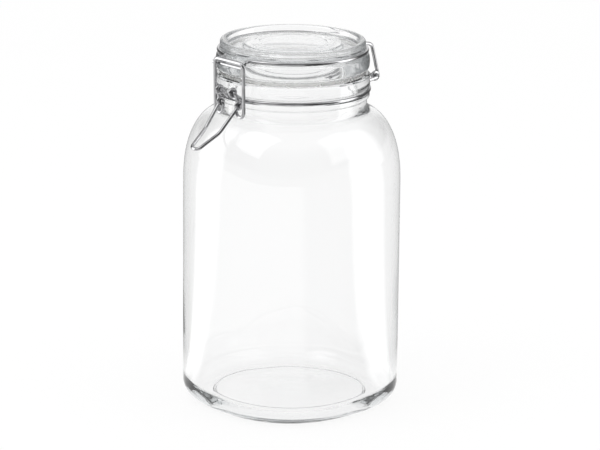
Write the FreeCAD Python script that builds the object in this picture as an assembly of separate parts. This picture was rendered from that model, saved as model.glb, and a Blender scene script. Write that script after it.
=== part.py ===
"""Clip-top jar: a three-litre glass jar with a hinged glass lid and a wire over-centre clip.

Millimetres. +Z is up, the origin is the centre of the base on the jar's axis. The clip is at
the front, on the -Y side, and the hinge at the back, on +Y. Both pivots turn about X.
"""
import FreeCAD
import Part
import math
import os

V = FreeCAD.Vector

# ---- glass body ---------------------------------------------------------------------------
body_half_width = 71.0      # middle of a flat side to the axis
body_squareness = 2.35      # exponent of the plan outline: 2 is round, more is squarer
body_top_z = 154.0          # where the straight sides end
lead_in = 16.0              # straight stretch made in one surface with the shoulder
lead_in_sections = 4
shoulder_height = 50.6
shoulder_flow = 2.5         # how long the shoulder stays near the full width
shoulder_drop = 1.7         # how steeply it turns in at the top
shoulder_end = 78.0         # degrees of the shoulder's curve used before the throat takes over
shoulder_sections = (0, 12, 24, 36, 48, 60, 70)
plan_points = 24
wall = 3.3
shoulder_thinning = 0.75    # share of the wall by which the inner shoulder ends lower
floor_thickness = 7.5
heel_radius = 13.5
inner_heel_radius = 12.0
push_up_radius = 50.0       # inside of the ring the jar stands on
push_up_flat = 30.0         # where the base would level out if its dome were not rounded
push_up_height = 3.0
push_up_roll = 190.0        # radius of that dome
throat_reach = 6.0          # shoulder's top to the neck, measured outwards
throat_slope = 0.6          # rise of the throat for each millimetre inwards
throat_step = 0.15          # throat starts this much inside the shoulder's last outline
throat_roll = 6.0
inner_throat_roll = 8.0

# ---- neck and mouth: radii are stated as glass outside the bore ---------------------------
bore_radius = 44.5
neck_height = 27.2          # shoulder's top to the flat rim that the gasket closes on
neck_glass = 6.5
rim_glass = 7.1
bead_glass = 8.4
lower_bead_glass = 8.2
lower_bead_height = 1.0
lower_bead_drop = 4.9       # its underside below the neck wire
bead_step = 0.8             # rise of the upper bead's sloping underside
lower_bead_step = 0.6       # and of the lower bead's sloping top
rim_bevel = 1.1
lip_radius = 1.4

# ---- lid ----------------------------------------------------------------------------------
lid_seat_gap = 0.3          # between the gasket and the rim
gasket_thickness = 3.0
gasket_width = 7.8
gasket_edge = 0.6
plug_play = 2.1             # between the ring under the lid and the bore
plug_depth = 5.4
plug_wall = 6.4
plug_fit = 0.2              # gasket's inner edge to the plug
flange_overhang = 0.0       # beyond the mouth's bead
flange_height = 10.2
lid_height = 19.7
crest_inset = 5.2           # middle of the crest inside the flange
crest_roll = 2.1
crest_slope = 1.0
lid_recess_depth = 5.0
lid_web = 5.0
button_inset = 14.2         # button's edge inside the middle of the crest
button_height = 2.6

# ---- wire closure -------------------------------------------------------------------------
wire_radius = 1.2
wire_seat = 0.1             # between a wire and the groove that holds it
pin_play = 0.08             # between a pin and the eye that turns on it
side_play = 0.3             # between wires that pass side by side
groove_room = 0.2           # above and below a wire in its groove
neck_wire_drop = 10.9       # below the rim
neck_wire_cover = 0.5       # middle of the neck wire inside the bead's edge
lid_wire_drop = 7.0         # below the lid's crest
lid_wire_cover = 2.2        # middle of the lid wire inside the flange's edge
bend = 3.0                  # usual bend of the wire, on its centre line
hinge_bend = 4.8
catch_bend = 1.9
lever_bend = 18.0
loop_bend = 3.4
pin_bend = 2.0
pin_end_show = 0.6          # how far a pin comes out of its eye
exit_reach = 3.2            # where a wire starts to turn out of its ring

hinge_reach = 10.1          # outwards from the neck wire's ring
hinge_rise = 1.9            # above the neck wire
hinge_leg_x = 16.0
staple_x = 20.0
hinge_shoulder_reach = 7.8  # outwards from the lid wire's ring
hinge_shoulder_drop = 2.0

pivot_rise = 6.1            # lever's pins above the neck wire
ear_x = 6.7
knee_in = 3.3               # latch's pins, inwards of the lever's
knee_drop = 8.7             # and below them
latch_leg_x = 14.5
latch_lean = 0.7            # latch's bar, outwards of its pins
latch_bar_drop = 0.4        # below the lid wire
latch_foot_drop = 8.1       # below its pins
foot_flat = 0.05            # straight wire left between a foot's two bends, on each side
catch_stand_off = 0.5       # between the catch and the flange
catch_clear = 0.4           # between the catch and the latch's legs
catch_drop = 4.4            # below the lid wire
catch_shoulder_gap = 1.03   # between the wire and the flange where it turns down to the catch
catch_shoulder_drop = 0.4
catch_tail = 3.8            # cut end of the wire, beyond the latch's leg on one side
lever_mid_x = 7.5
lever_mid_drop = 17.1       # below the latch's pins
lever_mid_clear = 11.45     # middle of the wire off the shoulder, measured level
lever_tip_x = 3.6
lever_tip_drop = 26.7
lever_tip_clear = 21.6

# ---- worked out from the values above -----------------------------------------------------
neck_radius = bore_radius + neck_glass
rim_radius = bore_radius + rim_glass
bead_radius = bore_radius + bead_glass
lower_bead_radius = bore_radius + lower_bead_glass
shoulder_top_radius = neck_radius + throat_reach
shoulder_top_z = body_top_z + shoulder_height
mouth_z = shoulder_top_z + neck_height
gasket_z = mouth_z + lid_seat_gap
lid_z = gasket_z + gasket_thickness
lid_top_z = lid_z + lid_height
plug_radius = bore_radius - plug_play
gasket_radius = plug_radius + plug_fit
flange_radius = bead_radius + flange_overhang
flange_top_z = lid_z + flange_height
crest_radius = flange_radius - crest_inset
button_radius = crest_radius - button_inset
wire_thickness = 2 * wire_radius
eye_ring = wire_thickness + pin_play
side_step = wire_thickness + side_play
neck_wire_z = mouth_z - neck_wire_drop
neck_wire_ring = bead_radius - neck_wire_cover
lid_wire_z = lid_top_z - lid_wire_drop
lid_wire_ring = flange_radius - lid_wire_cover
hinge_y = neck_wire_ring + hinge_reach
hinge_z = neck_wire_z + hinge_rise
catch_x = latch_leg_x - side_step
catch_y = -flange_radius - catch_stand_off - wire_radius
catch_z = lid_wire_z - catch_drop
catch_shoulder_y = -math.sqrt(flange_radius ** 2 - catch_x ** 2) - wire_radius - catch_shoulder_gap
latch_bar_y = catch_y - wire_thickness - catch_clear
latch_bar_z = lid_wire_z - latch_bar_drop
knee_y = latch_bar_y + latch_lean
pivot_y = knee_y - knee_in
pivot_z = neck_wire_z + pivot_rise
knee_z = pivot_z - knee_drop
latch_foot_z = knee_z - latch_foot_drop
lever_x = ear_x + side_step


# ---- helpers ------------------------------------------------------------------------------
def arc(start, through, end):
    return Part.Arc(V(*start), V(*through), V(*end)).toShape()


def line(start, end):
    return Part.makeLine(V(*start), V(*end))


def rounded(points, radii):
    """Edges of a path through points, with a tangent arc of the given radius at each corner."""
    points = [V(*p) for p in points]
    edges = []
    start = points[0]
    for before, corner, after, radius in zip(points, points[1:], points[2:], radii):
        towards = (before - corner).normalize()
        away = (after - corner).normalize()
        half = towards.getAngle(away) / 2
        if radius > 0 and half < math.pi / 2 - 1e-6:
            reach = radius / math.tan(half)
            centre = corner + (towards + away).normalize() * (radius / math.sin(half))
            middle = centre + (corner - centre).normalize() * radius
            leave = corner + towards * reach
            join = corner + away * reach
            if (leave - start).Length > 1e-6:
                edges.append(Part.makeLine(start, leave))
            edges.append(Part.Arc(leave, middle, join).toShape())
            start = join
        elif (corner - start).Length > 1e-6:
            edges.append(Part.makeLine(start, corner))
            start = corner
    if (points[-1] - start).Length > 1e-6:
        edges.append(Part.makeLine(start, points[-1]))
    return edges


def turned(points, radii):
    """Solid turned about Z from a closed outline of (radius, z) points with rounded corners."""
    outline = [(r, 0, z) for r, z in points]
    start = tuple((a + b) / 2 for a, b in zip(outline[-1], outline[0]))
    edges = rounded([start] + outline + [start], radii)
    return Part.Face(Part.Wire(edges)).revolve(V(), V(0, 0, 1), 360)


def bent_wire(edges):
    """Round wire swept along edges that follow each other."""
    path = Part.Wire(edges)
    first = edges[0]
    start = first.valueAt(first.FirstParameter)
    if (start - path.OrderedVertexes[0].Point).Length > 1e-6:
        start = first.valueAt(first.LastParameter)
    direction = first.tangentAt(first.FirstParameter)
    section = Part.Wire(Part.makeCircle(wire_radius, start, direction))
    return path.makePipeShell([section], True, False)


def eye(x, y, z):
    """Closed eye bent in the wire to turn on a pin that lies along X."""
    return Part.makeTorus(eye_ring, wire_radius, V(x, y, z), V(1, 0, 0))


def eye_edge(x, centre, towards):
    """Point on an eye's centre line, on the side that faces another (y, z) point."""
    away = math.hypot(towards[0] - centre[0], towards[1] - centre[1])
    share = eye_ring / away
    return (x, centre[0] + (towards[0] - centre[0]) * share, centre[1] + (towards[1] - centre[1]) * share)


def eye_tangent(x, centre, start):
    """Point where a wire that comes down from start runs into the far side of an eye."""
    across = start[0] - centre[0]
    up = start[1] - centre[1]
    turn = math.atan2(up, across) - math.acos(eye_ring / math.hypot(across, up))
    return (x, centre[0] + eye_ring * math.cos(turn), centre[1] + eye_ring * math.sin(turn))


def mirrored(point):
    return (-point[0], point[1], point[2])


def both_sides(shape):
    return [shape, shape.mirror(V(), V(1, 0, 0))]


def joined(shapes):
    return shapes[0].multiFuse(shapes[1:]).removeSplitter()


# ---- glass jar ----------------------------------------------------------------------------
def plan(half_width, exponent, z):
    """Closed plan outline between a circle and a rounded square."""
    points = []
    for i in range(plan_points):
        angle = 2 * math.pi * i / plan_points
        c, s = abs(math.cos(angle)), abs(math.sin(angle))
        r = half_width / (c ** exponent + s ** exponent) ** (1 / exponent)
        points.append(V(r * math.cos(angle), r * math.sin(angle), z))
    curve = Part.BSplineCurve()
    curve.interpolate(Points=points, PeriodicFlag=True)
    return Part.Wire(curve.toShape())


def shoulder_curve(degrees):
    """Rise of the shoulder's curve and what is left of its width, from the body at 0 to 90 degrees."""
    angle = math.radians(degrees)
    return math.sin(angle) ** (2 / shoulder_flow), math.cos(angle) ** (2 / shoulder_drop)


def shoulder_section(degrees, low, high):
    """Plan outline part of the way up the shoulder; low and high are (half width, z) of its ends."""
    rise, left = shoulder_curve(degrees)
    width = high[0] + (low[0] - high[0]) * left
    return plan(width, 2 + (body_squareness - 2) * left, low[1] + (high[1] - low[1]) * rise)


def vessel(half_width, floor_z, bottom_radius, shoulder_width, shoulder_z):
    """Body with a rounded foot and a shoulder that draws in to a circle."""
    foot = Part.Face(plan(half_width, body_squareness, floor_z))
    sides = foot.extrude(V(0, 0, body_top_z - lead_in - floor_z))
    rim = [e for e in sides.Edges if e.BoundBox.ZMax < floor_z + 1e-3]
    sides = sides.makeFillet(bottom_radius, rim)
    low = (half_width, body_top_z)
    virtual = virtual_top(low, (shoulder_width, shoulder_z))
    straight = [body_top_z - lead_in * (1 - i / lead_in_sections) for i in range(lead_in_sections)]
    sections = [plan(half_width, body_squareness, z) for z in straight]
    sections += [shoulder_section(degrees, low, virtual) for degrees in shoulder_sections]
    sections.append(plan(shoulder_width, 2, shoulder_z))
    shoulder = Part.makeLoft(sections, True, False)
    return sides.fuse(shoulder)


def virtual_top(low, top):
    """Where the shoulder's curve would end if it ran on to the neck instead of into the throat."""
    rise, left = shoulder_curve(shoulder_end)
    return ((top[0] - low[0] * left) / (1 - left), low[1] + (top[1] - low[1]) / rise)


def shoulder_width(z):
    """Half width of the outside at a height on the shoulder, in the middle of a flat side."""
    low = (body_half_width, body_top_z)
    width, top_z = virtual_top(low, (shoulder_top_radius, shoulder_top_z))
    rise = (z - body_top_z) / (top_z - body_top_z)
    sine = rise ** (shoulder_flow / 2)
    return width + (body_half_width - width) * (1 - sine * sine) ** (1 / shoulder_drop)


def neck_outside():
    """Throat, lower bead, groove for the neck wire, mouth bead and flat rim."""
    throat_z = shoulder_top_z + throat_slope * throat_reach
    seat_radius = neck_wire_ring - wire_radius - wire_seat
    seat_low = neck_wire_z - wire_radius - groove_room
    seat_high = neck_wire_z + wire_radius + groove_room
    lower_bead_z = neck_wire_z - lower_bead_drop
    points = [
        (0, shoulder_top_z),
        (shoulder_top_radius - throat_step, shoulder_top_z),
        (neck_radius, throat_z),
        (neck_radius, lower_bead_z - lower_bead_height),
        (lower_bead_radius, lower_bead_z),
        (lower_bead_radius, seat_low - lower_bead_step),
        (seat_radius, seat_low),
        (seat_radius, seat_high),
        (bead_radius, seat_high + bead_step),
        (bead_radius, mouth_z - rim_bevel),
        (rim_radius, mouth_z),
        (0, mouth_z),
    ]
    return turned(points, [0, 0, throat_roll, 1.2, 1.0, 0.8, 0.5, 0.5, 1.6, 0.9, 1.0, 0])


def neck_inside():
    """Throat and straight bore, running out through the rim."""
    start_radius, start_z = inner_shoulder()
    throat_z = start_z + throat_slope * (start_radius - bore_radius)
    points = [
        (0, start_z),
        (start_radius - throat_step, start_z),
        (bore_radius, throat_z),
        (bore_radius, mouth_z),
        (bore_radius + lip_radius, mouth_z),
        (0, mouth_z),
    ]
    return turned(points, [0, 0, inner_throat_roll, lip_radius, 0, 0])


def inner_shoulder():
    return (shoulder_top_radius - wall, shoulder_top_z - shoulder_thinning * wall)


def is_disc(face, z):
    """Whether a face is the flat top of a form that ends at height z."""
    box = face.BoundBox
    return abs(box.ZMin - z) < 1e-4 and abs(box.ZMax - z) < 1e-4


def hollow(outer, inner, z):
    """Solid between two nested forms that both end in a disc at height z."""
    skin = [f for f in outer.Faces + inner.Faces if not is_disc(f, z)]
    outer_disc = [f for f in outer.Faces if is_disc(f, z)][0]
    inner_disc = [f for f in inner.Faces if is_disc(f, z)][0]
    shell = Part.makeShell(skin + outer_disc.cut(inner_disc).Faces)
    shell.sewShape()
    solid = Part.makeSolid(shell)
    solid.fix(1e-5, 1e-6, 1e-4)
    return solid


def make_jar():
    outer = vessel(body_half_width, 0, heel_radius, shoulder_top_radius, shoulder_top_z)
    outer = outer.fuse(neck_outside())
    dome = [(0, push_up_height), (push_up_flat, push_up_height), (push_up_radius, 0)]
    push_up = turned(dome + [(push_up_radius, -push_up_height), (0, -push_up_height)], [0, push_up_roll, 0, 0, 0])
    inner = vessel(body_half_width - wall, floor_thickness, inner_heel_radius, *inner_shoulder())
    inner = inner.fuse(neck_inside())
    return hollow(outer.cut(push_up).removeSplitter(), inner.removeSplitter(), mouth_z)


# ---- lid and gasket -----------------------------------------------------------------------
def make_lid():
    """Plug that centres it, flange over the rim, groove for the lid wire, crest and raised button."""
    seat_radius = lid_wire_ring - wire_radius - wire_seat
    seat_low = lid_wire_z - wire_radius - groove_room
    seat_high = lid_wire_z + wire_radius + groove_room
    recess_z = lid_top_z - lid_recess_depth
    crest_outside = crest_radius + crest_roll
    crest_inside = crest_radius - crest_roll
    points = [
        (0, recess_z - lid_web),
        (plug_radius - plug_wall, recess_z - lid_web),
        (plug_radius - plug_wall, lid_z - plug_depth),
        (plug_radius, lid_z - plug_depth),
        (plug_radius, lid_z),
        (flange_radius, lid_z),
        (flange_radius, flange_top_z),
        (seat_radius + 0.9, flange_top_z + 0.5),
        (seat_radius, seat_low),
        (seat_radius, seat_high),
        (crest_outside, seat_high + 0.6),
        (crest_outside, lid_top_z),
        (crest_inside, lid_top_z),
        (crest_inside - crest_slope, recess_z),
        (button_radius + 1.0, recess_z),
        (button_radius, recess_z + button_height),
        (0, recess_z + button_height),
    ]
    radii = [0, 3.0, 2.5, 2.0, 0, 2.2, 2.4, 0.8, 0.6, 0.6, 0.6, 2.0, 2.0, 2.6, 1.2, 1.4, 0]
    return turned(points, radii)


def make_gasket():
    outer = gasket_radius + gasket_width
    points = [(gasket_radius, gasket_z), (outer, gasket_z), (outer, lid_z), (gasket_radius, lid_z)]
    return turned(points, [gasket_edge] * 4)


# ---- wires --------------------------------------------------------------------------------
def make_neck_wire():
    """Ring in the neck's groove, two eyes at the front for the lever, a bar at the back for the lid."""
    stalk_root = (ear_x, -math.sqrt(neck_wire_ring ** 2 - ear_x ** 2), neck_wire_z)
    stalk_end = eye_edge(ear_x, (pivot_y, pivot_z), stalk_root[1:])
    ear = joined([bent_wire([line(stalk_root, stalk_end)]), eye(ear_x, pivot_y, pivot_z)])
    staple_root = (staple_x, math.sqrt(neck_wire_ring ** 2 - staple_x ** 2), neck_wire_z)
    corner = (staple_x, hinge_y, hinge_z)
    staple = bent_wire(rounded([staple_root, corner, mirrored(corner), mirrored(staple_root)], [bend, bend]))
    ring_wire = Part.makeTorus(neck_wire_ring, wire_radius, V(0, 0, neck_wire_z), V(0, 0, 1))
    return joined([ring_wire, staple] + both_sides(ear))


def ring_exit(x, side):
    """Corner where the lid wire turns out of its ring at a given x, and the end of the ring's arc."""
    reach = exit_reach
    corner = (x, side * math.sqrt(lid_wire_ring ** 2 + reach ** 2 - x ** 2), lid_wire_z)
    angle = math.atan(reach / lid_wire_ring) + math.asin(x / math.hypot(lid_wire_ring, reach))
    end = (lid_wire_ring * math.sin(angle), side * lid_wire_ring * math.cos(angle), lid_wire_z)
    return corner, end


def fitted_bend(before, corner, after, reach):
    """Bend radius whose arc starts at a given distance from the corner."""
    towards = V(*before) - V(*corner)
    away = V(*after) - V(*corner)
    return reach * math.tan(towards.getAngle(away) / 2)


def make_lid_wire():
    """One wire from eye to eye: up the hinge legs, round the lid and out to the catch at the front."""
    catch_corner, arc_front = ring_exit(catch_x, -1)
    catch_shoulder = (catch_x, catch_shoulder_y, lid_wire_z - catch_shoulder_drop)
    catch_end = (catch_x, catch_y, catch_z)
    turn_out = fitted_bend(catch_shoulder, catch_corner, arc_front, exit_reach)
    front = [(0, catch_y, catch_z), catch_end, catch_shoulder, catch_corner, arc_front]
    front_edges = rounded(front, [bend, catch_bend, turn_out])
    leg_corner, arc_back = ring_exit(hinge_leg_x, 1)
    leg_top = (hinge_leg_x, lid_wire_ring + hinge_shoulder_reach, lid_wire_z - hinge_shoulder_drop)
    leg_end = eye_tangent(hinge_leg_x, (hinge_y, hinge_z), leg_top[1:])
    turn_down = fitted_bend(arc_back, leg_corner, leg_top, exit_reach)
    back_edges = rounded([arc_back, leg_corner, leg_top, leg_end], [turn_down, hinge_bend])
    round_lid = arc(arc_front, (lid_wire_ring, 0, lid_wire_z), arc_back)
    half = bent_wire(front_edges + [round_lid] + back_edges)
    half = joined([half, eye(hinge_leg_x, hinge_y, hinge_z)])
    tail_start = (bend - catch_x, catch_y, catch_z)
    tail_end = (-latch_leg_x - wire_radius - catch_tail, catch_y, catch_z)
    return joined(both_sides(half) + [bent_wire([line(tail_start, tail_end)])])


def make_lever():
    """Crank arms from the pins to the eyes that carry the latch, then a long finger loop."""
    pin_end = (ear_x - wire_radius - pin_end_show, pivot_y, pivot_z)
    pin_corner = (lever_x, pivot_y, pivot_z)
    crank_end = eye_edge(lever_x, (knee_y, knee_z), (pivot_y, pivot_z))
    crank = bent_wire(rounded([pin_end, pin_corner, crank_end], [pin_bend]))
    mid_z = knee_z - lever_mid_drop
    mid = (lever_mid_x, -shoulder_width(mid_z) - lever_mid_clear, mid_z)
    tip_z = knee_z - lever_tip_drop
    tip = (lever_tip_x, -shoulder_width(tip_z) - lever_tip_clear, tip_z)
    arm_start = eye_edge(lever_x, (knee_y, knee_z), mid[1:])
    arm_end = (0, tip[1], tip[2])
    arm = bent_wire(rounded([arm_start, mid, tip, arm_end], [lever_bend, loop_bend]))
    half = joined([crank, eye(lever_x, knee_y, knee_z), arm])
    return joined(both_sides(half))


def make_latch():
    """Bar over the catch, a long leg each side, and a hooked foot that ends in a pin."""
    bar_corner = (latch_leg_x, latch_bar_y, latch_bar_z)
    foot_out = (latch_leg_x, knee_y, latch_foot_z)
    foot_in = (ear_x, knee_y, latch_foot_z)
    pin_corner = (ear_x, knee_y, knee_z)
    pin_end = ((lever_x + latch_leg_x) / 2, knee_y, knee_z)
    foot_bend = (latch_leg_x - ear_x) / 2 - foot_flat
    points = [(0, latch_bar_y, latch_bar_z), bar_corner, foot_out, foot_in, pin_corner, pin_end]
    half = bent_wire(rounded(points, [bend, foot_bend, foot_bend, pin_bend]))
    return joined(both_sides(half))


# ---- output -------------------------------------------------------------------------------
PARTS = {
    "jar_glass": make_jar,
    "lid_glass": make_lid,
    "gasket": make_gasket,
    "neck_wire": make_neck_wire,
    "lid_wire": make_lid_wire,
    "lever_wire": make_lever,
    "latch_wire": make_latch,
}


def main():
    os.makedirs("parts", exist_ok=True)
    for name, make in PARTS.items():
        shape = make()
        solids = shape.Solids
        print(name, shape.isValid(), len(solids), "solid", round(shape.Volume, 1), "mm3", len(shape.Faces), "faces")
        solids[0].exportStep("parts/" + name + ".step")


main()
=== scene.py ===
"""Looks of a clip-top glass jar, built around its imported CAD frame."""

import logging
import math
from dataclasses import dataclass, field
from enum import Enum

import bmesh
import bpy
import numpy as np
from mathutils import Matrix, Vector


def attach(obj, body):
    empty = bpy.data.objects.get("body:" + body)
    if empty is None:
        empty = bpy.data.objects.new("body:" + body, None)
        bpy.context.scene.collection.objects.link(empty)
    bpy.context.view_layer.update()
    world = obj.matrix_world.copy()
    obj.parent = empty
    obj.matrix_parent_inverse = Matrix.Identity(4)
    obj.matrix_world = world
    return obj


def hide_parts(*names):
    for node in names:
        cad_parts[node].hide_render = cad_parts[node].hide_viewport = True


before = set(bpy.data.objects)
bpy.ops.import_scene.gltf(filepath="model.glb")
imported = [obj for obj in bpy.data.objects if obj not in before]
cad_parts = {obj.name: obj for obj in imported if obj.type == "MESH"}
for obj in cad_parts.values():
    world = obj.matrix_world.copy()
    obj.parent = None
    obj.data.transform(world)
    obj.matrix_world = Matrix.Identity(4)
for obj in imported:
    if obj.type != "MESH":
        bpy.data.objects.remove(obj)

LOG = logging.getLogger("clip_top_jar")
MM = 0.001
TURN = 2 * math.pi
STRAIGHT = 1e-4     # a corner that turns less than this, in radians, isn't rounded
NEAR_AXIS = 1.0     # an outline that starts closer to the axis than this, in millimetres, ends on it
Outline = list[tuple[float, float]]


class Slot(Enum):
    """Names for the material slots of the pieces made here; nothing in the script uses them."""

    GLASS = "glass"
    SEAL = "gasket"


class Body(Enum):
    """Bodies that the pieces made here ride on."""

    JAR = "jar"
    LID = "lid"


# ---- outlines ------------------------------------------------------------------------------
def rounded_outline(points: Outline, radii: list[float], steps: int) -> Outline:
    """Outline through points with its corners rounded by tangent arcs.

    Args:
        points: corners as (radius, z).
        radii: one radius for each point; the two ends keep theirs at 0.
        steps: spans in each arc.

    Returns:
        The points of the smooth outline.
    """
    made = [points[0]]
    for before, corner, after, radius in zip(points, points[1:], points[2:], radii[1:]):
        a = np.subtract(before, corner)
        b = np.subtract(after, corner)
        a = a / np.linalg.norm(a)
        b = b / np.linalg.norm(b)
        half = math.acos(max(-1.0, min(1.0, float(a @ b)))) / 2
        if radius <= 0 or half > math.pi / 2 - STRAIGHT:
            made.append(corner)
            continue
        reach = radius / math.tan(half)
        middle = (a + b) / np.linalg.norm(a + b)
        centre = np.add(corner, middle * (radius / math.sin(half)))
        start = np.add(corner, a * reach) - centre
        end = np.add(corner, b * reach) - centre
        sweep = math.pi - 2 * half
        for i in range(steps + 1):
            t = i / steps
            mixed = (start * math.sin((1 - t) * sweep) + end * math.sin(t * sweep)) / math.sin(sweep)
            made.append(tuple(centre + mixed))
    made.append(points[-1])
    return made


def divided(outline: Outline, longest: float) -> Outline:
    """Outline with its long runs cut into spans.

    Args:
        outline: points as (radius, z).
        longest: the longest span that is left.

    Returns:
        The outline with the points added.
    """
    made = [outline[0]]
    for a, b in zip(outline, outline[1:]):
        spans = max(1, math.ceil(math.dist(a, b) / longest))
        for i in range(1, spans + 1):
            made.append((a[0] + (b[0] - a[0]) * i / spans, a[1] + (b[1] - a[1]) * i / spans))
    return made


def plan_ring(half_width: float, exponent: float, inset: float, around: int) -> np.ndarray:
    """Plan outline between a circle and a rounded square.

    Args:
        half_width: middle of a flat side to the axis.
        exponent: 2 is a circle and more is squarer.
        inset: distance that the outline is moved inwards, square to itself.
        around: number of points.

    Returns:
        Points as an array of (x, y).
    """
    angle = np.arange(around) * TURN / around
    c, s = np.cos(angle), np.sin(angle)
    r = half_width / (np.abs(c) ** exponent + np.abs(s) ** exponent) ** (1 / exponent)
    points = np.stack([r * c, r * s], axis=1)
    normal = np.stack([np.sign(c) * np.abs(points[:, 0]) ** (exponent - 1),
                       np.sign(s) * np.abs(points[:, 1]) ** (exponent - 1)], axis=1)
    normal /= np.linalg.norm(normal, axis=1)[:, None]
    return points - normal * inset


def skin_mesh(name: str, rings: list[np.ndarray], closed: bool) -> bpy.types.Object:
    """Smooth mesh over a row of rings of equal length.

    Args:
        name: piece name.
        rings: arrays of (x, y, z) in millimetres, each a ring round the form.
        closed: whether the last ring joins the first; otherwise each end is drawn to its middle.

    Returns:
        The new object, in metres.
    """
    around = len(rings[0])
    mesh = bmesh.new()
    rows = [[mesh.verts.new(Vector(p) * MM) for p in ring] for ring in rings]
    pairs = list(zip(rows, rows[1:]))
    if closed:
        pairs.append((rows[-1], rows[0]))
    for low, high in pairs:
        for i in range(around):
            j = (i + 1) % around
            mesh.faces.new((low[i], low[j], high[j], high[i]))
    if not closed:
        for row, ring, flip in ((rows[0], rings[0], True), (rows[-1], rings[-1], False)):
            middle = mesh.verts.new(Vector(ring.mean(axis=0)) * MM)
            for i in range(around):
                j = (i + 1) % around
                ends = (row[j], row[i]) if flip else (row[i], row[j])
                mesh.faces.new((*ends, middle))
    bmesh.ops.recalc_face_normals(mesh, faces=mesh.faces)
    return as_piece(name, mesh)


def as_piece(name: str, mesh: bmesh.types.BMesh) -> bpy.types.Object:
    """Smooth-shaded object in the scene.

    Args:
        name: object and mesh name.
        mesh: finished bmesh, which is freed.

    Returns:
        The new object.
    """
    for face in mesh.faces:
        face.smooth = True
    data = bpy.data.meshes.new(name)
    mesh.to_mesh(data)
    mesh.free()
    piece = bpy.data.objects.new(name, data)
    bpy.context.scene.collection.objects.link(piece)
    return piece


def lathe(name: str, outline: Outline, around: int) -> bpy.types.Object:
    """Form turned about the vertical axis.

    Args:
        name: piece name.
        outline: (radius, z) points, either a loop that stays off the axis or a line that ends near it.
        around: points in each ring.

    Returns:
        The new object, in metres.
    """
    angle = np.arange(around) * TURN / around
    c, s = np.cos(angle), np.sin(angle)
    rings = [np.stack([r * c, r * s, np.full(around, z)], axis=1) for r, z in outline]
    on_axis = outline[0][0] < NEAR_AXIS
    return skin_mesh(name, rings, closed=not on_axis)


# ---- finishes ------------------------------------------------------------------------------
def node_of(tree: bpy.types.NodeTree, kind: str, **values: object) -> bpy.types.Node:
    """New node with some of its values set.

    Args:
        tree: node tree to build in.
        kind: type name of the node.
        values: properties of the node, or else its inputs by name, with _ for a space.

    Returns:
        The new node.
    """
    node = tree.nodes.new(kind)
    for key, value in values.items():
        if hasattr(node, key):
            setattr(node, key, value)
        else:
            node.inputs[key.replace("_", " ")].default_value = value
    return node


def new_material(
        name: str) -> tuple[bpy.types.Material, bpy.types.NodeTree, bpy.types.Node, bpy.types.Node]:
    """Empty node material.

    Args:
        name: material name.

    Returns:
        The material, its node tree, its Principled BSDF and its output node.
    """
    material = bpy.data.materials.new(name)
    material.use_nodes = True
    tree = material.node_tree
    tree.nodes.clear()
    out = tree.nodes.new("ShaderNodeOutputMaterial")
    shader = tree.nodes.new("ShaderNodeBsdfPrincipled")
    tree.links.new(shader.outputs["BSDF"], out.inputs["Surface"])
    return material, tree, shader, out


def mottle_group() -> bpy.types.NodeTree:
    """Group shared by wire and seal: a cloudy mix of two colours, with the roughness following it.

    Returns:
        The node group, with Color and Roughness as its outputs.
    """
    group = bpy.data.node_groups.new("mottle", "ShaderNodeTree")
    for name, kind in (("Scale", "Float"), ("Detail", "Float"), ("Dark", "Color"), ("Light", "Color"),
                       ("Smooth", "Float"), ("Worn", "Float")):
        group.interface.new_socket(name, in_out="INPUT", socket_type=f"NodeSocket{kind}")
    for name, kind in (("Color", "Color"), ("Roughness", "Float")):
        group.interface.new_socket(name, in_out="OUTPUT", socket_type=f"NodeSocket{kind}")
    given, made = group.nodes.new("NodeGroupInput"), group.nodes.new("NodeGroupOutput")
    place = group.nodes.new("ShaderNodeTexCoord")
    cloud = group.nodes.new("ShaderNodeTexNoise")
    tone = node_of(group, "ShaderNodeMix", data_type="RGBA")
    rough = group.nodes.new("ShaderNodeMapRange")
    first, second = [socket for socket in tone.inputs if socket.type == "RGBA"]
    mixed = [socket for socket in tone.outputs if socket.type == "RGBA"][0]
    for start, end in ((place.outputs["Object"], cloud.inputs["Vector"]),
                       (given.outputs["Scale"], cloud.inputs["Scale"]),
                       (given.outputs["Detail"], cloud.inputs["Detail"]),
                       (cloud.outputs["Fac"], tone.inputs[0]),
                       (given.outputs["Dark"], first),
                       (given.outputs["Light"], second),
                       (cloud.outputs["Fac"], rough.inputs["Value"]),
                       (given.outputs["Smooth"], rough.inputs["To Min"]),
                       (given.outputs["Worn"], rough.inputs["To Max"]),
                       (mixed, made.inputs["Color"]),
                       (rough.outputs["Result"], made.inputs["Roughness"])):
        group.links.new(start, end)
    return group


def mottled(tree: bpy.types.NodeTree, group: bpy.types.NodeTree, shader: bpy.types.Node,
            **values: object) -> None:
    """Gives a shader the mottle group's colour and roughness.

    Args:
        tree: the material's node tree.
        group: the mottle group.
        shader: the shader that takes them.
        values: the group's inputs by name.
    """
    node = node_of(tree, "ShaderNodeGroup", node_tree=group)
    for name, value in values.items():
        node.inputs[name].default_value = value
    tree.links.new(node.outputs["Color"], shader.inputs["Base Color"])
    tree.links.new(node.outputs["Roughness"], shader.inputs["Roughness"])


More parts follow.
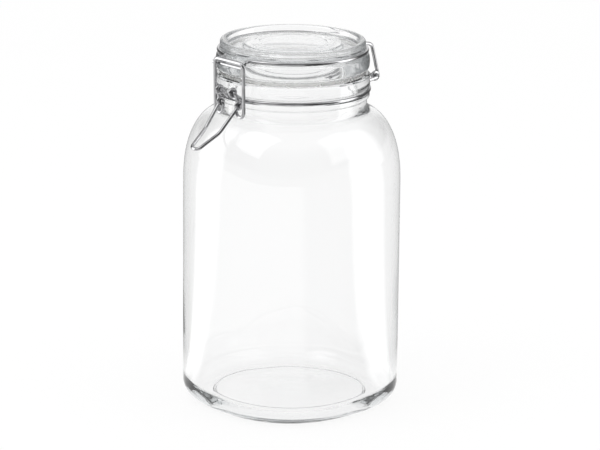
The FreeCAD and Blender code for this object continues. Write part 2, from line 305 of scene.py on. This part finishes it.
@dataclass(frozen=True)
class ClearGlass:
    """Colourless soda-lime glass with a slightly uneven fire-polished skin."""

    name: str = "clear_glass"
    tint: tuple[float, float, float, float] = (1.0, 1.0, 1.0, 1.0)
    absorb: tuple[float, float, float, float] = (0.70, 0.72, 0.73, 1.0)
    density: float = 11.0
    ior: float = 1.52
    ripple_scale: float = 42.0
    ripple_detail: float = 1.5
    ripple_roughness: float = 0.4
    ripple_strength: float = 0.05
    ripple_depth: float = 0.0008

    def make(self) -> bpy.types.Material:
        """Builds the glass.

        Returns:
            The finished material.
        """
        material, tree, shader, out = new_material(self.name)
        shader.inputs["Base Color"].default_value = self.tint
        shader.inputs["Metallic"].default_value = 0.0
        shader.inputs["Roughness"].default_value = 0.0
        shader.inputs["IOR"].default_value = self.ior
        shader.inputs["Transmission Weight"].default_value = 1.0
        place = tree.nodes.new("ShaderNodeTexCoord")
        ripple = node_of(tree, "ShaderNodeTexNoise", Scale=self.ripple_scale, Detail=self.ripple_detail,
                         Roughness=self.ripple_roughness)
        bump = node_of(tree, "ShaderNodeBump", Strength=self.ripple_strength, Distance=self.ripple_depth)
        tree.links.new(place.outputs["Object"], ripple.inputs["Vector"])
        tree.links.new(ripple.outputs["Fac"], bump.inputs["Height"])
        tree.links.new(bump.outputs["Normal"], shader.inputs["Normal"])
        absorb = node_of(tree, "ShaderNodeVolumeAbsorption", Color=self.absorb, Density=self.density)
        tree.links.new(absorb.outputs["Volume"], out.inputs["Volume"])
        return material


@dataclass(frozen=True)
class BrightWire:
    """Drawn spring-steel wire with fine die lines and faint handling marks."""

    name: str = "bright_wire"
    light: tuple[float, float, float, float] = (0.60, 0.60, 0.61, 1.0)
    dark: tuple[float, float, float, float] = (0.34, 0.34, 0.35, 1.0)
    smooth: float = 0.08
    worn: float = 0.20
    mark_scale: float = 260.0
    mark_detail: float = 4.0
    line_scale: float = 2400.0
    line_detail: float = 2.0
    line_strength: float = 0.06
    line_depth: float = 0.00005

    def make(self, mottle: bpy.types.NodeTree) -> bpy.types.Material:
        """Builds the wire.

        Args:
            mottle: the shared mottle group.

        Returns:
            The finished material.
        """
        material, tree, shader, _ = new_material(self.name)
        shader.inputs["Metallic"].default_value = 1.0
        mottled(tree, mottle, shader, Scale=self.mark_scale, Detail=self.mark_detail, Dark=self.dark,
                Light=self.light, Smooth=self.smooth, Worn=self.worn)
        place = tree.nodes.new("ShaderNodeTexCoord")
        lines = node_of(tree, "ShaderNodeTexNoise", Scale=self.line_scale, Detail=self.line_detail)
        bump = node_of(tree, "ShaderNodeBump", Strength=self.line_strength, Distance=self.line_depth)
        tree.links.new(place.outputs["Object"], lines.inputs["Vector"])
        tree.links.new(lines.outputs["Fac"], bump.inputs["Height"])
        tree.links.new(bump.outputs["Normal"], shader.inputs["Normal"])
        return material


@dataclass(frozen=True)
class SealRubber:
    """Soft translucent white sealing ring."""

    name: str = "seal_rubber"
    pale: tuple[float, float, float, float] = (0.96, 0.96, 0.95, 1.0)
    deep: tuple[float, float, float, float] = (0.90, 0.90, 0.89, 1.0)
    smooth: float = 0.20
    dull: float = 0.36
    ior: float = 1.41
    transmission: float = 0.85
    cloud_scale: float = 180.0
    cloud_detail: float = 3.0

    def make(self, mottle: bpy.types.NodeTree) -> bpy.types.Material:
        """Builds the rubber.

        Args:
            mottle: the shared mottle group.

        Returns:
            The finished material.
        """
        material, tree, shader, _ = new_material(self.name)
        shader.inputs["Metallic"].default_value = 0.0
        shader.inputs["IOR"].default_value = self.ior
        shader.inputs["Transmission Weight"].default_value = self.transmission
        mottled(tree, mottle, shader, Scale=self.cloud_scale, Detail=self.cloud_detail, Dark=self.deep,
                Light=self.pale, Smooth=self.smooth, Worn=self.dull)
        return material


# ---- glass jar -----------------------------------------------------------------------------
@dataclass
class JarGlass:
    """Blown body with a rounded-square plan, a round neck and a beaded mouth.

    All sizes are in millimetres and degrees. Each row of waves is (lobes round the jar, turn for each
    millimetre of height, phase, share), and the waves fade out below the neck and at the floor.
    """

    half_width: float = 71.0
    exponent: float = 2.35
    wall: float = 3.3
    body_top: float = 154.0
    shoulder_top: float = 204.6
    shoulder_radius: float = 57.0
    shoulder_flow: float = 2.5
    shoulder_drop: float = 1.7
    shoulder_glass: float = 2.5
    shoulder_end: float = 78.0
    shoulder_crowding: float = 1.3
    shoulder_rings: int = 44
    floor: float = 5.4
    heel: float = 13.5
    inner_heel: float = 12.0
    push_up_radius: float = 50.0
    push_up_height: float = 3.0
    push_up_rings: int = 40
    base_edge: float = 3.0
    base_edge_start: float = 0.3
    base_edge_rings: int = 10
    groove_depth: float = 0.5
    groove_out: float = 1.6
    groove_width: float = 0.8
    heel_spans: int = 16
    outer_straight: int = 16
    inner_straight: int = 48
    floor_shares: tuple[float, float] = (0.97, 0.02)
    floor_rings: int = 30
    throat_slope: float = 0.6
    inner_throat_roll: float = 8.0
    neck: float = 51.0
    bore: float = 44.5
    mouth: float = 231.8
    rim: float = 51.6
    bead: float = 52.9
    lower_bead: float = 52.7
    lower_bead_z: float = 217.2
    wire_z: float = 220.9
    wire_seat: float = 51.1
    wire_half: float = 1.4
    lower_bead_drop: float = 2.2
    lower_bead_rise: float = 1.2
    lower_bead_step: float = 0.6
    bead_step: float = 0.8
    rim_bevel: float = 1.1
    rim_seat: float = 1.0
    neck_radii: tuple[float, ...] = (0, 6.0, 1.2, 1.0, 0.8, 0.5, 0.5, 1.6, 0.9, 1.0, 0)
    lip: float = 1.4
    lip_seat: float = 0.5
    neck_steps: int = 6
    lip_steps: int = 8
    longest_span: float = 3.0
    around: int = 256
    ripple: float = 0.28
    waves: tuple[tuple[float, float, float, float], ...] = (
        (3, 0.021, 0.6, 0.5), (7, -0.045, 1.9, 0.3), (2, 0.075, 0.0, 0.35), (13, 0.09, 0.0, 0.12))
    calm_above: float = 30.0
    calm_fade: float = 40.0
    calm_floor: float = 25.0

    def shoulder(self, low_width: float, top_width: float, top_z: float) -> list[tuple[float, float, float]]:
        """Shoulder from the straight sides up to the throat.

        Args:
            low_width: half width at the top of the straight sides.
            top_width: radius where the shoulder has become round.
            top_z: height of that place.

        Returns:
            Rows of (half width, exponent, z).
        """
        last = math.radians(self.shoulder_end)
        rise = math.sin(last) ** (2 / self.shoulder_flow)
        inset = math.cos(last) ** (2 / self.shoulder_drop)
        full_z = self.body_top + (top_z - self.body_top) / rise
        full_width = (top_width - low_width * inset) / (1 - inset)
        made = []
        for i in range(1, self.shoulder_rings + 1):
            angle = last * (i / self.shoulder_rings) ** self.shoulder_crowding
            up = math.sin(angle) ** (2 / self.shoulder_flow)
            out = math.cos(angle) ** (2 / self.shoulder_drop)
            square = (self.exponent - 2) * max(0.0, (out - inset) / (1 - inset))
            width = full_width + (low_width - full_width) * out
            made.append((width, 2 + square, self.body_top + (full_z - self.body_top) * up))
        return made

    def outer_rings(self) -> list[np.ndarray]:
        """Outside of the jar.

        Returns:
            Rings from the middle of the base up the outside to the rim.
        """
        hollow = np.linspace(NEAR_AXIS, self.push_up_radius, self.push_up_rings)
        edge = np.linspace(self.base_edge_start, self.base_edge, self.base_edge_rings)
        side = np.linspace(self.heel, self.body_top, self.outer_straight)[1:]
        rings = [self.round_ring(r, self.push_up(r)) for r in hollow]
        rings += [self.round_ring(self.push_up_radius + out, self.base_groove(out)) for out in edge]
        for i in range(self.heel_spans + 1):
            angle = math.pi / 2 * i / self.heel_spans
            inset = self.heel * (1 - math.sin(angle))
            rings.append(self.square_ring(self.half_width, inset, self.heel * (1 - math.cos(angle))))
        rings += [self.square_ring(self.half_width, 0, z) for z in side]
        shoulder = self.shoulder(self.half_width, self.shoulder_radius, self.shoulder_top)
        rings += [self.plan(w, e, z) for w, e, z in shoulder]
        rings += [self.round_ring(r, z) for r, z in self.neck_outside()]
        return rings

    def push_up(self, radius: float) -> float:
        """Height of the base's hollow, easing down from the middle to the ring that the jar stands on."""
        share = min(1.0, max(0.0, radius / self.push_up_radius))
        return self.push_up_height * (1 + math.cos(math.pi * share)) / 2

    def base_groove(self, out: float) -> float:
        """Depth of the shallow ring round the base, by distance from the hollow's edge."""
        return self.groove_depth * math.exp(-((out - self.groove_out) / self.groove_width) ** 2)

    def inner_rings(self) -> list[np.ndarray]:
        """Inside of the jar.

        Returns:
            Rings from the rim down the inside to the middle of the floor.
        """
        width = self.half_width - self.wall
        top_z = self.shoulder_top - self.shoulder_glass
        rings = [self.round_ring(r, z) for r, z in self.neck_inside()]
        shoulder = self.shoulder(width, self.shoulder_radius - self.wall, top_z)
        rings += [self.plan(w, e, z) for w, e, z in reversed(shoulder)]
        low = self.floor + self.inner_heel
        side = np.linspace(self.body_top, low, self.inner_straight)
        rings += [self.square_ring(width, 0, z) for z in side]
        for i in range(1, self.heel_spans + 1):
            angle = math.pi / 2 * i / self.heel_spans
            inset = self.inner_heel * (1 - math.cos(angle))
            rings.append(self.square_ring(width, inset, low - self.inner_heel * math.sin(angle)))
        edge = width - self.inner_heel
        rings += [self.floor_ring(edge, share) for share in np.linspace(*self.floor_shares, self.floor_rings)]
        return rings

    def floor_ring(self, edge: float, share: float) -> np.ndarray:
        """Ring on the floor, which rises over the base's hollow.

        Args:
            edge: half width of the flat floor.
            share: 1 at that edge and 0 in the middle.

        Returns:
            The ring's points.
        """
        ring = self.square_ring(edge, 0, self.floor + self.push_up(edge * share))
        ring[:, :2] *= share
        return ring

    def neck_outside(self) -> Outline:
        """Throat, lower bead, groove for the neck wire, mouth bead and half of the rim.

        Returns:
            The outline from the shoulder's top upwards.
        """
        throat = self.shoulder_top + self.throat_slope * (self.shoulder_radius - self.neck)
        low, high = self.wire_z - self.wire_half, self.wire_z + self.wire_half
        points = [(self.shoulder_radius, self.shoulder_top),
                  (self.neck, throat),
                  (self.neck, self.lower_bead_z - self.lower_bead_drop),
                  (self.lower_bead, self.lower_bead_z - self.lower_bead_rise),
                  (self.lower_bead, low - self.lower_bead_step),
                  (self.wire_seat, low),
                  (self.wire_seat, high),
                  (self.bead, high + self.bead_step),
                  (self.bead, self.mouth - self.rim_bevel),
                  (self.rim, self.mouth),
                  (self.bore + self.lip + self.rim_seat, self.mouth)]
        rounded = rounded_outline(points, list(self.neck_radii), self.neck_steps)
        return divided(rounded[1:], self.longest_span)

    def neck_inside(self) -> Outline:
        """Half of the rim, the lip, the straight bore and the throat.

        Returns:
            The outline from the rim down to the shoulder's top.
        """
        start_radius = self.shoulder_radius - self.wall
        start_z = self.shoulder_top - self.shoulder_glass
        throat = start_z + self.throat_slope * (start_radius - self.bore)
        points = [(self.bore + self.lip + self.lip_seat, self.mouth), (self.bore, self.mouth),
                  (self.bore, throat), (start_radius, start_z)]
        rounded = rounded_outline(points, [0, self.lip, self.inner_throat_roll, 0], self.lip_steps)
        return divided(rounded[:-1], self.longest_span)

    def plan(self, width: float, exponent: float, z: float) -> np.ndarray:
        """Ring of a given half width and squareness."""
        flat = plan_ring(width, exponent, 0, self.around)
        return np.column_stack([flat, np.full(self.around, z)])

    def square_ring(self, width: float, inset: float, z: float) -> np.ndarray:
        """Ring of the body's plan, moved inwards square to itself."""
        flat = plan_ring(width, self.exponent, inset, self.around)
        return np.column_stack([flat, np.full(self.around, z)])

    def round_ring(self, radius: float, z: float) -> np.ndarray:
        """Circular ring."""
        return self.plan(radius, 2, z)

    def uneven(self, ring: np.ndarray) -> np.ndarray:
        """Inner ring moved by the slow waves that blowing leaves in the wall.

        Args:
            ring: points as (x, y, z).

        Returns:
            The moved ring.
        """
        x, y, z = ring.T
        angle = np.arctan2(y, x)
        wave = sum(np.sin(lobes * angle + climb * z + phase) * share
                   for lobes, climb, phase, share in self.waves)
        below_neck = np.clip((self.body_top + self.calm_above - z) / self.calm_fade, 0, 1)
        above_floor = np.clip((z - self.floor) / self.calm_floor, 0, 1)
        grow = 1 + self.ripple * wave * below_neck * above_floor / np.hypot(x, y)
        return np.column_stack([x * grow, y * grow, z])

    def build(self) -> bpy.types.Object:
        """Builds the jar's body.

        Returns:
            The piece, which rides on the jar.
        """
        rings = self.outer_rings() + [self.uneven(r) for r in self.inner_rings()]
        piece = skin_mesh("jar_body_glass", rings, closed=False)
        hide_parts("jar_glass")
        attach(piece, Body.JAR.value)
        return piece


# ---- lid and seal --------------------------------------------------------------------------
@dataclass
class LidGlass:
    """Pressed lid: plug, flange, wire groove, raised crest, and a low round button in the recess.

    All sizes are in millimetres. The radii round the corners of the half section, in its order.
    """

    bottom: float = 235.1
    height: float = 19.7
    plug: float = 42.4
    plug_depth: float = 5.4
    plug_wall: float = 6.4
    flange: float = 52.9
    flange_height: float = 10.2
    flange_bulge: float = 0.9
    wire_ring: float = 50.7
    wire_drop: float = 7.0
    wire_half: float = 1.4
    seat_depth: float = 1.3
    seat_lead: float = 0.9
    flange_step: float = 0.5
    crest_step: float = 0.6
    crest: float = 47.7
    crest_roll: float = 2.1
    recess: float = 5.0
    recess_draft: float = 1.0
    web: float = 5.0
    centre: float = 0.6
    button: float = 33.5
    button_draft: float = 1.0
    button_height: float = 2.6
    ridges: tuple[float, ...] = (27.5, 24.5)
    ridge_height: float = 0.45
    ridge_width: float = 0.55
    radii: tuple[float, ...] = (0, 3.0, 2.5, 2.0, 0.4, 2.0, 18.0, 2.2, 0.8, 0.6, 0.6, 0.6, 2.0, 2.0, 2.6, 1.2,
                                1.4, 0)
    steps: int = 8
    longest_span: float = 1.2
    face_tolerance: float = 1e-3
    around: int = 224

    def outline(self) -> Outline:
        """Half section from the axis under the lid, round the outside, and back over the top.

        Returns:
            The outline, with the raised rings on the button's face.
        """
        top = self.bottom + self.height
        wire = top - self.wire_drop
        seat = self.wire_ring - self.seat_depth
        low, high = wire - self.wire_half, wire + self.wire_half
        flange_top = self.bottom + self.flange_height
        recess = top - self.recess
        under = recess - self.web
        face = recess + self.button_height
        inside = self.plug - self.plug_wall
        outer_crest, inner_crest = self.crest + self.crest_roll, self.crest - self.crest_roll
        points = [(self.centre, under),
                  (inside, under),
                  (inside, self.bottom - self.plug_depth),
                  (self.plug, self.bottom - self.plug_depth),
                  (self.plug, self.bottom),
                  (self.flange - self.flange_bulge, self.bottom),
                  (self.flange, self.bottom + self.flange_height / 2),
                  (self.flange - self.flange_bulge, flange_top),
                  (seat + self.seat_lead, flange_top + self.flange_step),
                  (seat, low),
                  (seat, high),
                  (outer_crest, high + self.crest_step),
                  (outer_crest, top),
                  (inner_crest, top),
                  (inner_crest - self.recess_draft, recess),
                  (self.button + self.button_draft, recess),
                  (self.button, face),
                  (self.centre, face)]
        made = divided(rounded_outline(points, list(self.radii), self.steps), self.longest_span)
        return [(r, z + self.relief(r) if abs(z - face) < self.face_tolerance else z) for r, z in made]

    def relief(self, radius: float) -> float:
        """Height of the plain raised rings on the button."""
        return sum(self.ridge_height * math.exp(-((radius - r) / self.ridge_width) ** 2) for r in self.ridges)

    def build(self) -> bpy.types.Object:
        """Builds the lid's glass.

        Returns:
            The piece, which rides on the lid.
        """
        piece = lathe("lid_cover_glass", self.outline(), self.around)
        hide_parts("lid_glass")
        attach(piece, Body.LID.value)
        return piece


@dataclass
class SealRing:
    """Flat sealing ring under the lid's flange."""

    inner: float = 42.6
    width: float = 7.8
    bottom: float = 232.1
    thickness: float = 3.0
    top_gap: float = 0.02
    soft_edge: float = 0.6
    steps: int = 5
    around: int = 192

    def build(self) -> bpy.types.Object:
        """Builds the seal.

        Returns:
            The piece, which rides on the lid.
        """
        outer, top = self.inner + self.width, self.bottom + self.thickness - self.top_gap
        middle = (self.inner + outer) / 2
        points = [(middle, self.bottom), (outer, self.bottom), (outer, top), (self.inner, top),
                  (self.inner, self.bottom), (middle, self.bottom)]
        outline = rounded_outline(points, [0] + [self.soft_edge] * 4 + [0], self.steps)[:-1]
        piece = lathe("seal_ring", outline, self.around)
        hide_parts("gasket")
        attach(piece, Body.LID.value)
        return piece


# ---- studio --------------------------------------------------------------------------------
@dataclass(frozen=True)
class Room:
    """Brightness of the studio by direction, where 1 is white.

    Args:
        sides: (turn from the camera, grey) stops; 0.25 is the camera's right and 0.5 is behind the jar.
        ceiling: (upward part of the direction, grey) stops.
        rise: (upward part, share of the ceiling) stops.
    """

    sides: tuple[tuple[float, float], ...]
    ceiling: tuple[tuple[float, float], ...] = ((-1.0, 0.0), (1.0, 0.0))
    rise: tuple[tuple[float, float], ...] = ((-1.0, 0.0), (1.0, 0.0))


# What glass and wire mirror: near-black sides with two tall bands brighter than white.
MIRRORED = Room(
    ceiling=((-1.0, 0.7), (1.0, 0.7)),
    rise=((-1.0, 0.0), (0.55, 0.0), (0.75, 1.0), (1.0, 1.0)),
    sides=((0.0, 0.06), (0.20, 0.06), (0.215, 2.6), (0.285, 2.6), (0.32, 0.12), (0.44, 0.10), (0.47, 1.0),
           (0.53, 1.0), (0.56, 0.12), (0.67, 0.12), (0.69, 2.6), (0.745, 2.6), (0.76, 0.06)))
# Painted reflection that the floor gives off to glass and wire only, in place of its plain white: dark sides
# and bands brighter than white, by the direction of the place on it.
FLOOR_PAINTED_REFLECTION = Room(
    sides=((0.0, 0.8), (0.04, 0.8), (0.06, 0.12), (0.20, 0.12), (0.215, 2.6), (0.27, 2.6), (0.30, 0.15),
           (0.5, 0.25), (0.68, 0.15), (0.70, 2.6), (0.745, 2.6), (0.76, 0.8)))
# What is seen straight through the glass, above the floor: white with a grey belt.
REFRACTED = Room(
    ceiling=((-1.0, 1.0), (1.0, 0.9)),
    rise=((-1.0, 1.0), (0.08, 1.0), (0.16, 0.0), (0.42, 0.0), (0.60, 1.0), (1.0, 1.0)),
    sides=((0.0, 0.6), (0.12, 0.6), (0.18, 0.35), (0.40, 0.35), (0.44, 1.0), (0.56, 1.0), (0.60, 0.2),
           (0.82, 0.2), (0.90, 0.5)))


@dataclass(frozen=True)
class Lamp:
    """Soft rectangular lamp, by its turn from the camera and its height, both in degrees."""

    name: str
    turn: float
    high: float
    energy: float
    size: tuple[float, float] = (0.9, 1.3)
    distance: float = 1.6


@dataclass
class Studio:
    """White sweep, soft lamps, the surround that the glass and wire show, and the camera.

    Distances are in metres and angles in degrees. The camera sees plain white, and matt surfaces are lit
    evenly; glass and wire are given the rooms above instead of that background.
    """

    azimuth: float = 48.0
    elevation: float = 15.25
    distance: float = 2.287
    target_z: float = 0.1275
    lens: float = 198.7
    shift: tuple[float, float] = (0.0144, -0.0100)
    roll: float = 0.52
    clip_end: float = 50.0
    floor_half: float = 3.0
    floor_gap: float = 0.0002
    floor_white: float = 0.95
    floor_shadow: float = 0.10
    glass_shadow: float = 0.12
    # Distances from the axis over which the floor's painted reflection for mirrors fades in.
    painted_reflection_start: float = 0.10
    painted_reflection_full: float = 0.16
    bounces: int = 24
    lamp_rows: tuple[Lamp, ...] = (Lamp("key_lamp", -62.0, 48.0, 6.0), Lamp("fill_lamp", 70.0, 35.0, 3.0))

    def towards(self, turn: float, high: float) -> Vector:
        """Unit vector from the jar, by the turn from the camera's side and the height, in degrees.

        Args:
            turn: turn from the camera, seen from above.
            high: angle above the horizon.

        Returns:
            The direction.
        """
        a, e = math.radians(self.azimuth + turn), math.radians(high)
        return Vector((math.sin(a) * math.cos(e), -math.cos(a) * math.cos(e), math.sin(e)))

    def camera(self) -> None:
        """Places the camera and makes it the scene's."""
        back = self.towards(0.0, self.elevation)
        data = bpy.data.cameras.new("camera")
        data.lens = self.lens
        data.shift_x, data.shift_y = self.shift
        data.clip_end = self.clip_end
        camera = bpy.data.objects.new("camera", data)
        turn = back.to_track_quat("Z", "Y").to_matrix().to_4x4()
        spin = Matrix.Rotation(math.radians(self.roll), 4, "Z")
        place = Matrix.Translation(Vector((0, 0, self.target_z)) + back * self.distance)
        camera.matrix_world = place @ turn @ spin
        bpy.context.scene.collection.objects.link(camera)
        bpy.context.scene.camera = camera

    def floor(self) -> None:
        """White floor: a trace of shadow seen directly or through glass, and a painted reflection of dark
        sides and bright bands that it gives off to mirrors only.
        """
        mesh = bmesh.new()
        bmesh.ops.create_grid(mesh, x_segments=2, y_segments=2, size=self.floor_half)
        floor = as_piece("floor", mesh)
        floor.location.z = -self.floor_gap
        floor.data.materials.append(self.floor_material())

    def floor_material(self) -> bpy.types.Material:
        """Builds the floor's material.

        Returns:
            The finished material.
        """
        material = bpy.data.materials.new("floor_white")
        material.use_nodes = True
        tree = material.node_tree
        tree.nodes.clear()
        out = tree.nodes.new("ShaderNodeOutputMaterial")
        path = tree.nodes.new("ShaderNodeLightPath")
        grey = self.floor_white
        matt = node_of(tree, "ShaderNodeBsdfDiffuse", Color=(grey, grey, grey, 1.0)).outputs[0]
        white = tree.nodes.new("ShaderNodeEmission").outputs[0]
        shadow = node_of(tree, "ShaderNodeMath", operation="MULTIPLY_ADD")
        tree.links.new(path.outputs["Is Transmission Ray"], shadow.inputs[0])
        shadow.inputs[1].default_value = self.glass_shadow - self.floor_shadow
        shadow.inputs[2].default_value = self.floor_shadow
        plain = self.mixed(tree, shadow.outputs[0], white, matt)
        straight = self.either(tree, path.outputs["Is Camera Ray"], path.outputs["Is Transmission Ray"])
        # Glass and wire see the floor's painted reflection in place of its matt shading.
        shader = self.mixed(tree, path.outputs["Is Glossy Ray"], matt, self.painted_floor_reflection(tree))
        # A ray through clear glass counts as glossy too, so the straight rays are chosen last.
        shader = self.mixed(tree, straight, shader, plain)
        tree.links.new(shader, out.inputs["Surface"])
        return material

    def painted_floor_reflection(self, tree: bpy.types.NodeTree) -> bpy.types.NodeSocket:
        """Light that the floor gives off to mirrors only: white near the jar, and a painted reflection of
        dark sides and bands brighter than white further out.

        Args:
            tree: node tree to build in.

        Returns:
            The shader socket.
        """
        place = tree.nodes.new("ShaderNodeTexCoord").outputs["Object"]
        reach = node_of(tree, "ShaderNodeVectorMath", operation="LENGTH")
        tree.links.new(place, reach.inputs[0])
        far = self.ramp(tree, reach.outputs["Value"], self.painted_reflection_start, self.painted_reflection_full,
                        [(0.0, 0.0), (1.0, 1.0)])
        # Painted reflection: the floor glows for mirror rays only, white near the jar and with dark sides and
        # bright bands further out.
        light = self.choose(tree, far, self.plain_grey(tree, 1.0), self.room(tree, place, FLOOR_PAINTED_REFLECTION))
        mirrored = tree.nodes.new("ShaderNodeEmission")
        tree.links.new(light, mirrored.inputs["Color"])
        return mirrored.outputs[0]

    def mixed(self, tree: bpy.types.NodeTree, which: bpy.types.NodeSocket, first: bpy.types.NodeSocket,
              second: bpy.types.NodeSocket) -> bpy.types.NodeSocket:
        """Mix of two shaders.

        Args:
            tree: node tree to build in.
            which: 0 gives the first and 1 the second.
            first: shader socket.
            second: shader socket.

        Returns:
            The mixed shader's socket.
        """
        mix = tree.nodes.new("ShaderNodeMixShader")
        tree.links.new(which, mix.inputs[0])
        tree.links.new(first, mix.inputs[1])
        tree.links.new(second, mix.inputs[2])
        return mix.outputs[0]

    def either(self, tree: bpy.types.NodeTree, first: bpy.types.NodeSocket,
               second: bpy.types.NodeSocket) -> bpy.types.NodeSocket:
        """Greater of two values.

        Args:
            tree: node tree to build in.
            first: value socket.
            second: value socket.

        Returns:
            The value's socket.
        """
        bigger = node_of(tree, "ShaderNodeMath", operation="MAXIMUM")
        tree.links.new(first, bigger.inputs[0])
        tree.links.new(second, bigger.inputs[1])
        return bigger.outputs[0]

    def plain_grey(self, tree: bpy.types.NodeTree, grey: float) -> bpy.types.NodeSocket:
        """Colour of one grey.

        Args:
            tree: node tree to build in.
            grey: its value.

        Returns:
            The colour socket.
        """
        node = tree.nodes.new("ShaderNodeRGB")
        node.outputs[0].default_value = (grey, grey, grey, 1.0)
        return node.outputs[0]

    def surround(self) -> None:
        """World: even light on matt surfaces, white to the camera, and the rooms in glass and wire."""
        world = bpy.data.worlds.new("studio")
        bpy.context.scene.world = world
        world.use_nodes = True
        tree = world.node_tree
        tree.nodes.clear()
        path = tree.nodes.new("ShaderNodeLightPath")
        place = tree.nodes.new("ShaderNodeTexCoord").outputs["Generated"]
        seen = self.plain_grey(tree, self.floor_white)
        seen = self.choose(tree, path.outputs["Is Glossy Ray"], seen, self.room(tree, place, MIRRORED))
        seen = self.choose(tree, path.outputs["Is Transmission Ray"], seen, self.room(tree, place, REFRACTED))
        seen = self.choose(tree, path.outputs["Is Camera Ray"], seen, self.plain_grey(tree, 1.0))
        shade = node_of(tree, "ShaderNodeBackground", Strength=1.0)
        out = tree.nodes.new("ShaderNodeOutputWorld")
        tree.links.new(seen, shade.inputs["Color"])
        tree.links.new(shade.outputs[0], out.inputs["Surface"])

    def choose(self, tree: bpy.types.NodeTree, which: bpy.types.NodeSocket, first: bpy.types.NodeSocket,
               second: bpy.types.NodeSocket) -> bpy.types.NodeSocket:
        """Mix of two colours.

        Args:
            tree: node tree to build in.
            which: 0 gives the first and 1 the second.
            first: colour socket.
            second: colour socket.

        Returns:
            The mixed colour's socket.
        """
        mix = tree.nodes.new("ShaderNodeMix")
        mix.data_type = "RGBA"
        sockets = [i for i in mix.inputs if i.type == "RGBA"]
        tree.links.new(which, mix.inputs[0])
        tree.links.new(first, sockets[0])
        tree.links.new(second, sockets[1])
        return [o for o in mix.outputs if o.type == "RGBA"][0]

    def room(self, tree: bpy.types.NodeTree, direction: bpy.types.NodeSocket,
             room: Room) -> bpy.types.NodeSocket:
        """Room's brightness in a direction.

        Args:
            tree: node tree to build in.
            direction: vector socket.
            room: the room.

        Returns:
            The colour socket.
        """
        split = tree.nodes.new("ShaderNodeSeparateXYZ")
        tree.links.new(direction, split.inputs[0])
        heading = node_of(tree, "ShaderNodeMath", operation="ARCTAN2")
        tree.links.new(split.outputs["Y"], heading.inputs[0])
        tree.links.new(split.outputs["X"], heading.inputs[1])
        around = self.ramp(tree, heading.outputs[0], -math.pi, math.pi, self.turned(room.sides))
        up = split.outputs["Z"]
        above = self.ramp(tree, up, -1.0, 1.0, [((z + 1) / 2, share) for z, share in room.rise])
        ceiling = self.ramp(tree, up, -1.0, 1.0, [((z + 1) / 2, grey) for z, grey in room.ceiling])
        return self.choose(tree, above, around, ceiling)

    def turned(self, sides: tuple[tuple[float, float], ...]) -> list[tuple[float, float]]:
        """Ramp stops for (turn from the camera, grey) pairs."""
        seen = (self.azimuth - 90.0) / 360.0 + 0.5
        return sorted(((turn + seen) % 1.0, grey) for turn, grey in sides)

    def ramp(self, tree: bpy.types.NodeTree, value: bpy.types.NodeSocket, low: float, high: float,
             stops: list[tuple[float, float]]) -> bpy.types.NodeSocket:
        """Grey ramp over a value.

        Args:
            tree: node tree to build in.
            value: socket that drives the ramp.
            low: value at the ramp's start.
            high: value at its end.
            stops: (position, grey) pairs in order.

        Returns:
            The ramp's colour socket.
        """
        scaled = node_of(tree, "ShaderNodeMapRange")
        scaled.inputs["From Min"].default_value = low
        scaled.inputs["From Max"].default_value = high
        ramp = tree.nodes.new("ShaderNodeValToRGB")
        tree.links.new(value, scaled.inputs["Value"])
        tree.links.new(scaled.outputs["Result"], ramp.inputs[0])
        band = ramp.color_ramp
        while len(band.elements) < len(stops):
            band.elements.new(1.0)
        for element, (position, grey) in zip(band.elements, stops):
            element.position = position
            element.color = (grey, grey, grey, 1.0)
        return ramp.outputs[0]

    def lamps(self) -> None:
        """Large soft lamps, high on each side of the camera."""
        for row in self.lamp_rows:
            back = self.towards(row.turn, row.high)
            data = bpy.data.lights.new(row.name, "AREA")
            data.shape = "RECTANGLE"
            data.size, data.size_y = row.size
            data.energy = row.energy
            lamp = bpy.data.objects.new(row.name, data)
            lamp.location = Vector((0, 0, self.target_z)) + back * row.distance
            lamp.rotation_euler = back.to_track_quat("Z", "Y").to_euler()
            bpy.context.scene.collection.objects.link(lamp)

    def build(self) -> None:
        """Sets up the whole studio."""
        self.camera()
        self.floor()
        self.surround()
        self.lamps()
        scene = bpy.context.scene
        scene.view_settings.view_transform = "Standard"
        scene.cycles.max_bounces = self.bounces
        scene.cycles.glossy_bounces = self.bounces
        scene.cycles.transmission_bounces = self.bounces


# ---- whole jar -----------------------------------------------------------------------------
@dataclass
class ClipTopJar:
    """The jar's pieces and the finishes they wear."""

    glass: ClearGlass = field(default_factory=ClearGlass)
    wire: BrightWire = field(default_factory=BrightWire)
    seal: SealRubber = field(default_factory=SealRubber)
    wires: tuple[str, ...] = ("neck_wire", "lid_wire", "lever_wire", "latch_wire")

    def dress(self, piece: bpy.types.Object, material: bpy.types.Material) -> None:
        """Gives a piece its one material."""
        piece.data.materials.clear()
        piece.data.materials.append(material)
        LOG.info("%s: %d faces, %s", piece.name, len(piece.data.polygons), material.name)

    def build(self) -> None:
        """Builds and dresses every piece."""
        mottle = mottle_group()
        glass, wire, seal = self.glass.make(), self.wire.make(mottle), self.seal.make(mottle)
        self.dress(JarGlass().build(), glass)
        self.dress(LidGlass().build(), glass)
        self.dress(SealRing().build(), seal)
        for node in self.wires:
            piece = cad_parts[node]
            for holder in piece.material_slots:
                holder.material = wire
            LOG.info("%s: carried over, %s", node, wire.name)


def main() -> None:
    """Builds the jar in its studio."""
    logging.basicConfig(level=logging.INFO, format="%(name)s %(message)s")
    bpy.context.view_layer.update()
    ClipTopJar().build()
    Studio().build()


if __name__ == "__main__":
    main()
